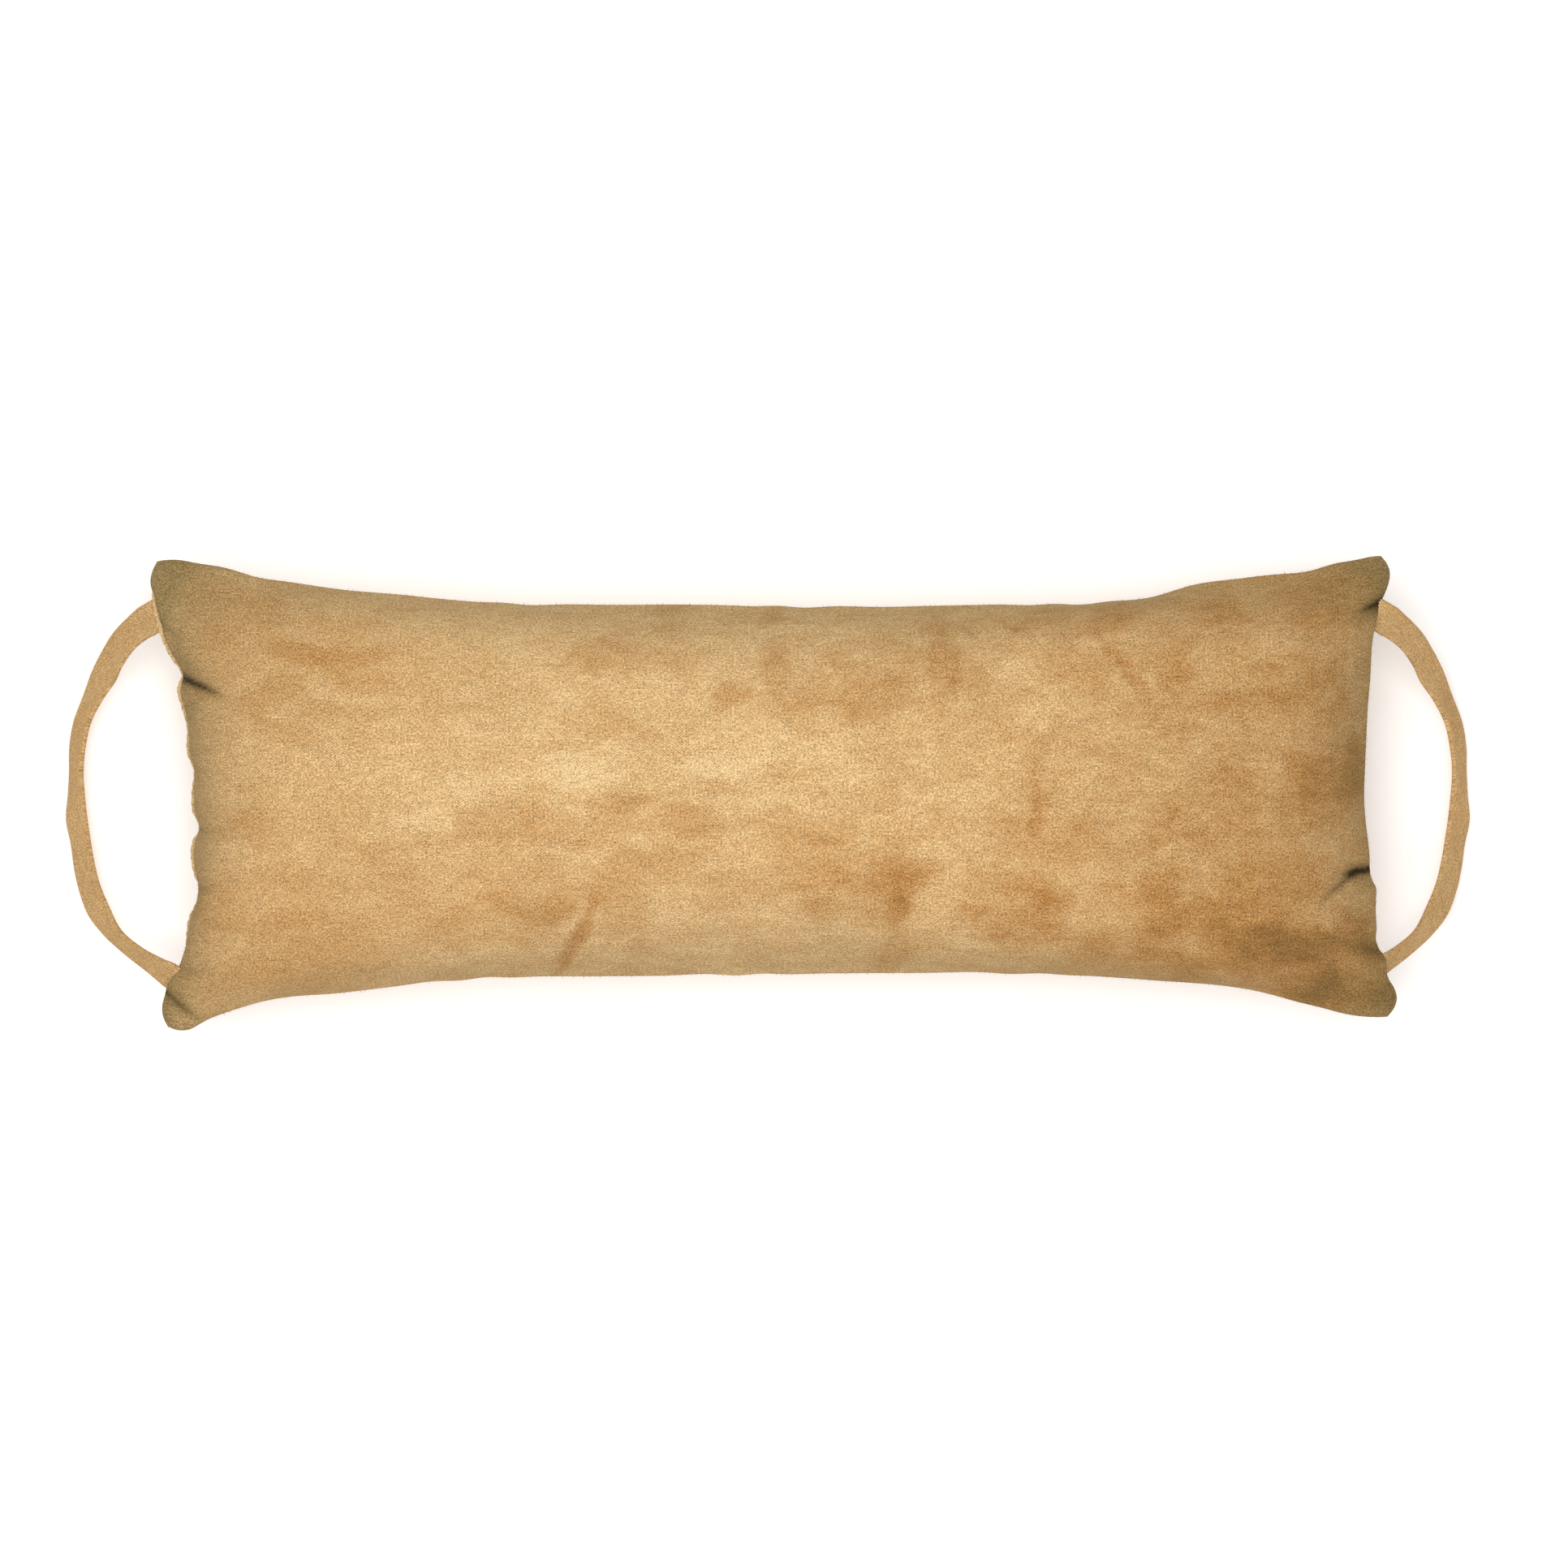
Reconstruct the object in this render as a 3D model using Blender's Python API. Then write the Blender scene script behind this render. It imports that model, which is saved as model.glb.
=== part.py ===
"""Lumbar bolster pillow with a strap handle at each end, lying on its bottom panel.

Two flat panels of microsuede are sewn face to face, turned and filled, so the seam runs round
the widest part and the sides draw in between the corners. An inner bag holds the fibre. The left
end is the one that is sewn shut last. Each handle is one flat strap: its free loop swings about
the end seam, and its two tails are caught in that seam under bar tacks.

Metres, +Z up, +X along the pillow, origin on the resting surface under the pillow's middle.
"""

from math import asin, atan2, cos, hypot, pi, sin

import bmesh
import bpy

# Driving dimensions of the filled cover
CORNER_X = 0.229  # middle to a corner, along the pillow
END_X = 0.2165  # middle to the end seam's own middle, which draws in
CORNER_Y = 0.0865  # middle to a corner, across
WAIST_Y = 0.0685  # middle to the long seam at the waist
SEAM_Z = 0.043  # height of the seam all round
CROWN = 0.049  # rise of the top panel over the seam
BELLY = 0.050  # drop of the bottom panel under the seam, before the floor flattens it

# Cloth, thread and clearances
COVER_CLOTH = 0.0012
LINER_CLOTH = 0.0006
GAP = 0.0003  # between pieces that touch
SEAM_THREAD_RADIUS = 0.0004
LINER_THREAD_RADIUS = 0.0003

# How far inside the cover's outline each layer lies: at the end seams, at the long seams, under
# the skin. The inner bag stops short of the ends, where the strap tails and seam edges lie.
COVER_OUTSIDE = (0.0, 0.0, 0.0)
COVER_INSIDE = (COVER_CLOTH, COVER_CLOTH, COVER_CLOTH)
LINER_OUTSIDE = (0.020, 0.009, 0.0040)
LINER_INSIDE = tuple(inset + LINER_CLOTH for inset in LINER_OUTSIDE)
FILL_OUTSIDE = tuple(inset + 0.0006 for inset in LINER_INSIDE)
SEAM_THREAD_INSET = 0.003
LINER_THREAD_INSET = (0.019, 0.008)

# Grid of every cloth layer, the same for all, so that their facets lie parallel
STEPS_ALONG = 24
STEPS_ACROSS = 12

# Strap handles
STRAP_WIDTH = 0.011
STRAP_THICKNESS = 0.0025
STRAP_Y = 0.066  # middle of each strap end, across the pillow
HINGE_X = 0.2265  # the fold line of the strap, just outside the end seam
LOOP_OUT = 0.029  # how far the loop's centreline reaches out from the fold line
LOOP_DROP = 0.0373  # how far it hangs below the seam, which rests it on the floor
LOOP_POWER = 2.3  # 2 would be a parabola, more is fuller
LOOP_STEPS = 28
TAIL_LENGTH = 0.0125
TAIL_WIDTH = 0.012
FOLD_ROOM = 0.0026  # from the fold line to a tail, so that the loop can lean back over the pillow
TACK_SIZE = (0.002, 0.010, 0.0008)
TACK_X = 0.2185

SIDES = {"left": -1, "right": 1}
PLACES = {"front": -1, "rear": 1}


def clear_scene():
    for thing in list(bpy.data.objects):
        bpy.data.objects.remove(thing)


def material(name, colour, roughness, metallic=0.0):
    made = bpy.data.materials.new(name)
    made.use_nodes = True
    shader = made.node_tree.nodes["Principled BSDF"]
    shader.inputs["Base Color"].default_value = (*colour, 1.0)
    shader.inputs["Roughness"].default_value = roughness
    shader.inputs["Metallic"].default_value = metallic
    return made


def add_object(name, bm, finish, location=(0.0, 0.0, 0.0)):
    bmesh.ops.recalc_face_normals(bm, faces=bm.faces)
    if bm.calc_volume(signed=True) < 0:
        bmesh.ops.reverse_faces(bm, faces=bm.faces)
    mesh = bpy.data.meshes.new(name)
    bm.to_mesh(mesh)
    bm.free()
    mesh.materials.append(finish)
    made = bpy.data.objects.new(name, mesh)
    made.location = location
    bpy.context.scene.collection.objects.link(made)
    return made


# ---- the filled cushion ----


def half_width(x):
    """Distance from the middle line to the long seam, which draws in at the waist."""
    return WAIST_Y + (CORNER_Y - WAIST_Y) * abs(x / CORNER_X) ** 3


def half_length(y):
    """Distance from the middle to the end seam, which draws in between the corners."""
    return END_X + (CORNER_X - END_X) * (y / CORNER_Y) ** 2


def plan_point(u, v, inset_end, inset_side):
    """Where shares u along and v across, from -1 to 1, lie on a layer set in by the insets."""
    x = u * (half_length(v * CORNER_Y) - inset_end)
    return (x, v * (half_width(x) - inset_side))


def skin_point(i, j, insets, side):
    """Grid point of a cloth layer: side 1 is the top panel's dome, -1 the bottom panel's."""
    inset_end, inset_side, inset_skin = insets
    s = 2 * i / STEPS_ALONG - 1
    t = 2 * j / STEPS_ACROSS - 1
    u = 0.45 * s + 0.55 * sin(pi / 2 * s)
    x, y = plan_point(u, sin(pi / 2 * t), inset_end, inset_side)
    bulge = max(0.0, 1 - abs(u) ** 5) ** 0.55 * cos(pi / 2 * t)
    if side > 0:
        return (x, y, SEAM_Z + (CROWN - inset_skin) * bulge)
    return (x, y, max(inset_skin, SEAM_Z - (BELLY - inset_skin) * bulge))


def grid(bm, insets, side, gap):
    """One layer of cloth as a grid of vertices and faces, its rim half a gap off the seam."""
    points = []
    for i in range(STEPS_ALONG + 1):
        row = []
        for j in range(STEPS_ACROSS + 1):
            x, y, z = skin_point(i, j, insets, side)
            on_rim = i in (0, STEPS_ALONG) or j in (0, STEPS_ACROSS)
            row.append(bm.verts.new((x, y, SEAM_Z + side * gap / 2 if on_rim else z)))
        points.append(row)
    for i in range(STEPS_ALONG):
        for j in range(STEPS_ACROSS):
            corners = (points[i][j], points[i + 1][j], points[i + 1][j + 1], points[i][j + 1])
            bm.faces.new(corners)
    return points


def rim(points):
    """The grid's outer vertices, once round."""
    front = [row[0] for row in points]
    right = points[-1][1:]
    rear = [row[-1] for row in reversed(points[:-1])]
    left = list(reversed(points[0][1:-1]))
    return front + right + rear + left


def join_rims(bm, outer, inner):
    for k in range(len(outer)):
        following = (k + 1) % len(outer)
        bm.faces.new((outer[k], outer[following], inner[following], inner[k]))


def panel(name, outside, inside, side, finish):
    """A domed panel of cloth, open at its seam."""
    bm = bmesh.new()
    outer = rim(grid(bm, outside, side, GAP))
    inner = rim(grid(bm, inside, side, GAP))
    join_rims(bm, outer, inner)
    return add_object(name, bm, finish)


def filling(name, insets, finish):
    bm = bmesh.new()
    upper = grid(bm, insets, 1, 0.0)
    lower = grid(bm, insets, -1, 0.0)
    pairs = dict(zip(rim(lower), rim(upper)))
    bmesh.ops.weld_verts(bm, targetmap=pairs)
    return add_object(name, bm, finish)


# ---- threads ----


def tube(name, points, radius, finish, closed=False):
    curve = bpy.data.curves.new(name, "CURVE")
    curve.dimensions = "3D"
    curve.bevel_depth = radius
    curve.bevel_resolution = 1
    curve.use_fill_caps = True
    spline = curve.splines.new("POLY")
    spline.points.add(len(points) - 1)
    for point, place in zip(spline.points, points):
        point.co = (*place, 1.0)
    spline.use_cyclic_u = closed
    curve.materials.append(finish)
    made = bpy.data.objects.new(name, curve)
    bpy.context.scene.collection.objects.link(made)
    return made


def seam_run(start, finish, inset_end, inset_side, steps):
    """Points along a stretch of the seam, from one share (u, v) to another, in steps."""
    points = []
    for k in range(steps + 1):
        u = start[0] + (finish[0] - start[0]) * k / steps
        v = start[1] + (finish[1] - start[1]) * k / steps
        points.append((*plan_point(u, v, inset_end, inset_side), SEAM_Z))
    return points


def cover_threads(finish):
    """The four runs of stitching round the cover, which stop short of corners and tails."""
    along = 0.93
    across = (STRAP_Y - TAIL_WIDTH / 2 - 0.002) / CORNER_Y
    runs = {
        "front_seam_thread": ((-along, -1), (along, -1)),
        "rear_seam_thread": ((-along, 1), (along, 1)),
        "right_end_seam_thread": ((1, -across), (1, across)),
        "left_closing_seam_thread": ((-1, -across), (-1, across)),
    }
    for name, (start, end) in runs.items():
        points = seam_run(start, end, SEAM_THREAD_INSET, SEAM_THREAD_INSET, 16)
        tube(name, points, SEAM_THREAD_RADIUS, finish)


def liner_thread(finish):
    """The overlock round the inner bag, just outside its edge."""
    corners = ((-1, -1), (1, -1), (1, 1), (-1, 1))
    ring = []
    for start, end, steps in zip(corners, corners[1:] + corners[:1], (16, 8, 16, 8)):
        ring += seam_run(start, end, *LINER_THREAD_INSET, steps)[:-1]
    tube("liner_seam_thread", ring, LINER_THREAD_RADIUS, finish, closed=True)


# ---- strap handles ----


def loop_reach(y):
    """Distance of the loop's centreline from the fold line, in the plane of the loop."""
    return hypot(LOOP_OUT, LOOP_DROP) * (1 - abs(y / STRAP_Y) ** LOOP_POWER)


def strap_edges():
    """Pairs of (y, reach), the strap's inner and outer edge, from the front end to the rear."""
    half = STRAP_WIDTH / 2
    step = STRAP_Y / 1000
    end_angle = atan2(loop_reach(STRAP_Y - step) - loop_reach(STRAP_Y), step)
    skew = half / sin(end_angle)
    edges = [((-STRAP_Y + skew, 0.0), (-STRAP_Y - skew, 0.0))]
    for k in range(1, LOOP_STEPS):
        y = STRAP_Y * sin(pi / 2 * (2 * k / LOOP_STEPS - 1)) * 0.5
        y += STRAP_Y * (2 * k / LOOP_STEPS - 1) * 0.5
        slope = (loop_reach(y + step / 2) - loop_reach(y - step / 2)) / step
        along = hypot(1, slope)
        out_y, out_r = -slope / along * half, half / along
        centre = loop_reach(y)
        inner = (y - out_y, max(0.0005, centre - out_r))
        outer = (y + out_y, max(0.0005, centre + out_r))
        edges.append((inner, outer))
    edges.append(((STRAP_Y - skew, 0.0), (STRAP_Y + skew, 0.0)))
    return edges


def strap_sections():
    """Four corners for each section: (y, reach, height over the plane of the loop)."""
    half = STRAP_THICKNESS / 2
    edges = strap_edges()
    sections = []
    for (inner_y, inner_r), (outer_y, outer_r) in edges:
        flat = [(inner_y, inner_r, half), (outer_y, outer_r, half)]
        flat += [(outer_y, outer_r, -half), (inner_y, inner_r, -half)]
        sections.append(flat)

    def rounded_end(end):
        """The end goes half round the fold line, so that it turns without cutting the tail."""
        (inner_y, _), (outer_y, _) = end
        loops = []
        for share in (0.3, 0.6, 0.9):
            r = -half * sin(share * pi / 2)
            n = half * cos(share * pi / 2)
            loops.append([(inner_y, r, n), (outer_y, r, n), (outer_y, r, -n), (inner_y, r, -n)])
        return loops

    return list(reversed(rounded_end(edges[0]))) + sections + rounded_end(edges[-1])


def strap(name, side, finish):
    """The free loop of a handle, resting at a slope from the end seam down to the floor."""
    slope = asin(LOOP_DROP / hypot(LOOP_OUT, LOOP_DROP))
    bm = bmesh.new()
    loops = []
    for section in strap_sections():
        loop = []
        for y, r, n in section:
            x = side * (r * cos(slope) + n * sin(slope))
            loop.append(bm.verts.new((x, y, -r * sin(slope) + n * cos(slope))))
        loops.append(loop)
    for first, second in zip(loops, loops[1:]):
        for k in range(4):
            following = (k + 1) % 4
            bm.faces.new((first[k], first[following], second[following], second[k]))
    bm.faces.new(loops[0])
    bm.faces.new(loops[-1])
    return add_object(name, bm, finish, (side * HINGE_X, 0.0, SEAM_Z))


def block(name, size, centre, bevel, finish):
    bm = bmesh.new()
    bmesh.ops.create_cube(bm, size=1.0)
    bmesh.ops.scale(bm, vec=size, verts=bm.verts)
    made = add_object(name, bm, finish, centre)
    if bevel:
        rounding = made.modifiers.new("rounded edges", "BEVEL")
        rounding.width = bevel
        rounding.segments = 2
    return made


def strap_tails(cloth, thread):
    """The sewn-in ends of the straps, inside the end seams, each with its bar tack on top."""
    outer_x = HINGE_X - FOLD_ROOM
    tack_z = SEAM_Z + STRAP_THICKNESS / 2 + GAP + TACK_SIZE[2] / 2
    for side_name, side in SIDES.items():
        for place_name, place in PLACES.items():
            y = place * STRAP_Y
            centre = (side * (outer_x - TAIL_LENGTH / 2), y, SEAM_Z)
            size = (TAIL_LENGTH, TAIL_WIDTH, STRAP_THICKNESS)
            block(f"{side_name}_{place_name}_strap_tail", size, centre, 0.0004, cloth)
            centre = (side * TACK_X, y, tack_z)
            block(f"{side_name}_{place_name}_bar_tack", TACK_SIZE, centre, 0.0002, thread)


def cut_strap_slots(panels, finish):
    """Openings in the end seams where the strap tails go in."""
    bm = bmesh.new()
    size = (0.024, TAIL_WIDTH + 2 * GAP, STRAP_THICKNESS + 2 * GAP)
    for side in SIDES.values():
        for place in PLACES.values():
            box = bmesh.ops.create_cube(bm, size=1.0)["verts"]
            bmesh.ops.scale(bm, vec=size, verts=box)
            bmesh.ops.translate(bm, vec=(side * 0.222, place * STRAP_Y, SEAM_Z), verts=box)
    cutter = add_object("strap_slot_cutter", bm, finish)
    cutter.hide_render = True
    cutter.display_type = "WIRE"
    for cloth in panels:
        cut = cloth.modifiers.new("strap slots", "BOOLEAN")
        cut.object = cutter
        cut.operation = "DIFFERENCE"


def main():
    clear_scene()
    suede = material("tan_microsuede", (0.61, 0.376, 0.162), 0.95)
    strap_suede = material("tan_strap", (0.56, 0.36, 0.165), 0.95)
    thread = material("tan_thread", (0.55, 0.37, 0.18), 0.7)
    calico = material("white_calico", (0.82, 0.80, 0.74), 0.9)
    fibre = material("polyester_fibre", (0.88, 0.88, 0.87), 1.0)

    top = panel("cover_top_panel", COVER_OUTSIDE, COVER_INSIDE, 1, suede)
    bottom = panel("cover_bottom_panel", COVER_OUTSIDE, COVER_INSIDE, -1, suede)
    cut_strap_slots((top, bottom), suede)
    panel("liner_top_panel", LINER_OUTSIDE, LINER_INSIDE, 1, calico)
    panel("liner_bottom_panel", LINER_OUTSIDE, LINER_INSIDE, -1, calico)
    filling("fibre_fill", FILL_OUTSIDE, fibre)
    cover_threads(thread)
    liner_thread(thread)
    strap_tails(strap_suede, thread)
    for side_name, side in SIDES.items():
        strap(f"{side_name}_strap", side, strap_suede)


main()
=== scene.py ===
"""Looks of the lumbar bolster pillow: a napped microsuede cover inflated by a cloth simulation,
two folded strap handles, and the stitching that holds them together.

Metres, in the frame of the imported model: +X along the pillow, +Z up, the floor at zero.
"""

from math import cos, pi, sin

import bpy
import numpy as np
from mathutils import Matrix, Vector
from mathutils.noise import noise as perlin


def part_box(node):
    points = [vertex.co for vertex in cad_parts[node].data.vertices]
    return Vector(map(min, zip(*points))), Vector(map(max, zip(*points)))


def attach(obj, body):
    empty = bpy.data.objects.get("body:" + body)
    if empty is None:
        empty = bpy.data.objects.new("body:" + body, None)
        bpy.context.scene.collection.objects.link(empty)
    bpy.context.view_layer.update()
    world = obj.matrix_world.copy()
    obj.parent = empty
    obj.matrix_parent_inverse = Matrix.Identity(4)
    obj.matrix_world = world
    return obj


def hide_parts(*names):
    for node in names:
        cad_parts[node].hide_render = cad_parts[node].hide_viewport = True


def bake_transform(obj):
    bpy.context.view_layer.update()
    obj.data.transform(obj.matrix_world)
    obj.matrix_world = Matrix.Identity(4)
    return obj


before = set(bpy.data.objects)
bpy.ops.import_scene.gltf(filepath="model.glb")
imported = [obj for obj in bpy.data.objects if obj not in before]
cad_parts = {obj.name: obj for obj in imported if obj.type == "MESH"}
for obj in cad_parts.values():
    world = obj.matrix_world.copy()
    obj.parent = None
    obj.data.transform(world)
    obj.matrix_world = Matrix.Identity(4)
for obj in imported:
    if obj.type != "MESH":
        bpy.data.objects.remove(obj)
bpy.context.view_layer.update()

MM = 0.001
CUSHION = "cushion"
HANDLES = {"left": -1, "right": 1}  # and the end of the pillow that each is on, along X

# ---- sizes ----

SEAM_Z = (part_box("cover_top_panel")[0][2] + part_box("cover_bottom_panel")[1][2]) / 2
FLAT_LENGTH = 0.461  # a cover panel between its seams, before the filling draws it in
FLAT_WIDTH = 0.180
CROWN = 0.0495  # height of the filled cushion above its seam
SHOULDER = 0.3  # how much steeper the cloth leaves the seam than in the simulation
EDGE_ROLL = 5 * MM  # least height of the cloth a little way in from any seam
CORNER_ROLL = 3 * MM  # and how much more of it the stuffed corners have
EASING_ROUNDS = 24  # how often the simulated cloth is eased towards its neighbours
CELL = 0.004  # cloth grid of the simulation
COLUMNS = round(FLAT_LENGTH / CELL)
ROWS = round(FLAT_WIDTH / CELL)
# The camera looks straight down from this height above the seam, over this point
VIEW_HEIGHT = 3.0
VIEW_CENTRE = (4.8 * MM, 2.4 * MM)

# The seams as seen from above, in millimetres: the long ones as (x, distance from the middle
# line), the ends from front to rear as (y, distance from the middle). Corners belong to the ends.
REAR_SEAM = [
    (-226.5, 84.3), (-220, 85.2), (-210, 84.6), (-185, 79.2), (-160, 75), (-140, 73.6),
    (-120, 71.4), (-80, 69.3), (-40, 69.7), (20, 68.6), (80, 69.3), (120, 69.7), (140, 71.9),
    (156, 77), (175, 79.6), (200, 82.6), (218, 86), (225, 86.1),
]
FRONT_SEAM = [
    (-222.5, 87), (-216, 88.2), (-208, 85.8), (-195, 80.6), (-178, 77), (-160, 75.8),
    (-140, 73.2), (-110, 70.2), (-60, 69.5), (0, 68.8), (60, 68.2), (100, 68.4), (140, 70.6),
    (165, 72.8), (185, 76.2), (202, 81.2), (215, 83.6), (227.5, 83.2),
]
LEFT_END = [
    (-87, 222.5), (-82, 224.9), (-76, 224.6), (-70.8, 223.5), (-64, 219), (-58.8, 217),
    (-47, 215.2), (-37, 211.1), (-30, 213.6), (-18, 213.5), (-14, 211.2), (-8, 213.8),
    (0, 214.1), (8, 213.5), (13, 215.6), (24, 216), (31, 218), (38, 219.5), (42.6, 217.9),
    (50, 222.5), (58, 226), (66, 228.3), (72, 229), (79, 229.2), (84.5, 226.5),
]
RIGHT_END = [
    (-83, 227.5), (-78.6, 230.9), (-74.4, 231.3), (-68.4, 228.7), (-60.5, 227.7), (-57, 224.7),
    (-51, 224.8), (-43.5, 224.5), (-34, 224.1), (-31, 222.2), (-28.8, 222.4), (-22, 222),
    (-12, 220.8), (-5, 220.1), (7, 220.4), (19, 221), (31, 221.6), (43, 222.7), (55, 223.2),
    (68, 226), (70.5, 226.2), (73, 228), (77, 228.6), (82, 228.4), (86.3, 225),
]
# The last opening, closed from outside with a thin edge-stitched lip, between these y
CLOSED_FROM, CLOSED_TO = -60 * MM, 75 * MM
SEAM_VALLEY = 1.1 * MM  # how far the stitches draw the cloth in
VALLEY_WIDTH = 1.2 * MM  # and how far from the seam that is felt
LIP_WIDTH = 0.6 * MM  # how far the lip stands out of the cushion


# ---- general helpers ----


def smooth_curve(points, at):
    """Values of a smooth curve through (key, value) points."""
    keys, values = np.array(points, float).T
    steps = np.diff(keys)
    slopes = np.diff(values) / steps
    tangents = np.empty(len(keys))
    tangents[0], tangents[-1] = slopes[0], slopes[-1]
    weighted = slopes[:-1] * steps[1:] + slopes[1:] * steps[:-1]
    tangents[1:-1] = weighted / (steps[:-1] + steps[1:])
    k = np.clip(np.searchsorted(keys, at) - 1, 0, len(keys) - 2)
    t = (at - keys[k]) / steps[k]
    start, start_tangent = 2 * t**3 - 3 * t**2 + 1, t**3 - 2 * t**2 + t
    end, end_tangent = 3 * t**2 - 2 * t**3, t**3 - t**2
    curve = start * values[k] + start_tangent * steps[k] * tangents[k]
    return curve + end * values[k + 1] + end_tangent * steps[k] * tangents[k + 1]


def evenly_spaced(path, count):
    """The same path as `count` points at equal distances along it."""
    path = np.asarray(path, float)
    lengths = np.linalg.norm(np.diff(path, axis=0), axis=1)
    travelled = np.concatenate([[0.0], np.cumsum(lengths)])
    at = np.linspace(0, travelled[-1], count)
    return np.stack([np.interp(at, travelled, axis) for axis in path.T], axis=1)


def spline_weights(at, count):
    """Matrix that reads a row of `count` samples at fractional indices, by Catmull-Rom."""
    weights = np.zeros((len(at), count))
    k = np.clip(np.floor(at).astype(int), 0, count - 2)
    t = at - k
    shares = (
        -0.5 * t + t**2 - 0.5 * t**3,
        1 - 2.5 * t**2 + 1.5 * t**3,
        0.5 * t + 2 * t**2 - 1.5 * t**3,
        -0.5 * t**2 + 0.5 * t**3,
    )
    rows = np.arange(len(at))
    for offset, share in zip((-1, 0, 1, 2), shares):
        index = k + offset
        inside = np.clip(index, 0, count - 1)
        # past an end, the row runs on straight
        beyond = index - inside
        np.add.at(weights, (rows, inside), share)
        neighbour = np.where(beyond < 0, 1, count - 2)
        np.add.at(weights, (rows, inside), share * abs(beyond))
        np.add.at(weights, (rows, neighbour), -share * abs(beyond))
    return weights


def ramp(values, start, length):
    """0 up to a start, then rising evenly to 1 over a length."""
    return np.clip((values - start) / length, 0, 1)


def unit(vectors):
    return vectors / np.maximum(np.linalg.norm(vectors, axis=-1, keepdims=True), 1e-9)


def mesh_piece(name, points, faces, material, attributes=None):
    """A smooth-shaded mesh object, with its per-vertex attributes."""
    mesh = bpy.data.meshes.new(name)
    mesh.from_pydata(np.asarray(points).tolist(), [], [list(map(int, f)) for f in faces])
    mesh.validate()
    for key, values in (attributes or {}).items():
        values = np.asarray(values, np.float32)
        kind, field = ("FLOAT", "value") if values.ndim == 1 else ("FLOAT_VECTOR", "vector")
        mesh.attributes.new(key, kind, "POINT").data.foreach_set(field, values.ravel())
    mesh.shade_smooth()
    mesh.materials.append(material)
    made = bpy.data.objects.new(name, mesh)
    bpy.context.scene.collection.objects.link(made)
    return made


# ---- materials ----


def linear(red, green, blue):
    """A screen colour, 0 to 255, as the linear colour that shaders take."""
    shares = [c / 255 for c in (red, green, blue)]
    return [s / 12.92 if s <= 0.04045 else ((s + 0.055) / 1.055) ** 2.4 for s in shares]


TAN = linear(201, 167, 118)
NAP_BROWN = linear(171, 124, 71)
NAP_DEEP = linear(128, 92, 46)
NAP_PALE = linear(214, 184, 136)
# colour of the painted shade on turned-down cloth, near seams, corners and creases
PAINTED_SHADE_OLIVE = linear(108, 94, 57)
STRAP_TAN = linear(186, 152, 104)
THREAD_TAN = linear(205, 170, 118)
CALICO = linear(236, 232, 222)
FIBRE = linear(243, 243, 241)


def add_node(tree, kind, inputs=None, **settings):
    made = tree.nodes.new("ShaderNode" + kind)
    for key, value in settings.items():
        setattr(made, key, value)
    for key, value in (inputs or {}).items():
        if isinstance(value, bpy.types.NodeSocket):
            tree.links.new(value, made.inputs[key])
        else:
            made.inputs[key].default_value = value
    return made


def maths(tree, operation, *values):
    inputs = dict(enumerate(values))
    return add_node(tree, "Math", inputs, operation=operation).outputs[0]


def remap(tree, value, low, high, to_low, to_high):
    inputs = {"Value": value, "From Min": low, "From Max": high}
    inputs.update({"To Min": to_low, "To Max": to_high})
    return add_node(tree, "MapRange", inputs).outputs[0]


def blend_colours(tree, share, first, second, mode="MIX"):
    made = add_node(tree, "Mix", {0: share}, data_type="RGBA", blend_type=mode)
    for key, value in ((6, first), (7, second)):
        if isinstance(value, bpy.types.NodeSocket):
            tree.links.new(value, made.inputs[key])
        else:
            made.inputs[key].default_value = (*value, 1.0)
    return made.outputs[2]


def noise(tree, vector, scale, detail=3.0, roughness=0.55, distortion=0.0):
    inputs = {"Vector": vector, "Scale": scale, "Detail": detail, "Roughness": roughness}
    inputs["Distortion"] = distortion
    return add_node(tree, "TexNoise", inputs).outputs["Fac"]


def attribute(tree, name, output="Fac"):
    return add_node(tree, "Attribute", attribute_name=name).outputs[output]


def herringbone(tree, cloth):
    """Height of the woven zigzag, -1 to 1, over flat cloth coordinates in metres."""
    column = 1.3 * MM
    pitch = 1.0 * MM
    split = add_node(tree, "SeparateXYZ", {0: cloth})
    zigzag = maths(tree, "PINGPONG", split.outputs[0], column)
    phase = maths(tree, "ADD", split.outputs[1], zigzag)
    return maths(tree, "SINE", maths(tree, "MULTIPLY", phase, 2 * pi / pitch))


def new_material(name):
    made = bpy.data.materials.new(name)
    made.use_nodes = True
    tree = made.node_tree
    return made, tree, tree.nodes["Principled BSDF"]


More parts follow.
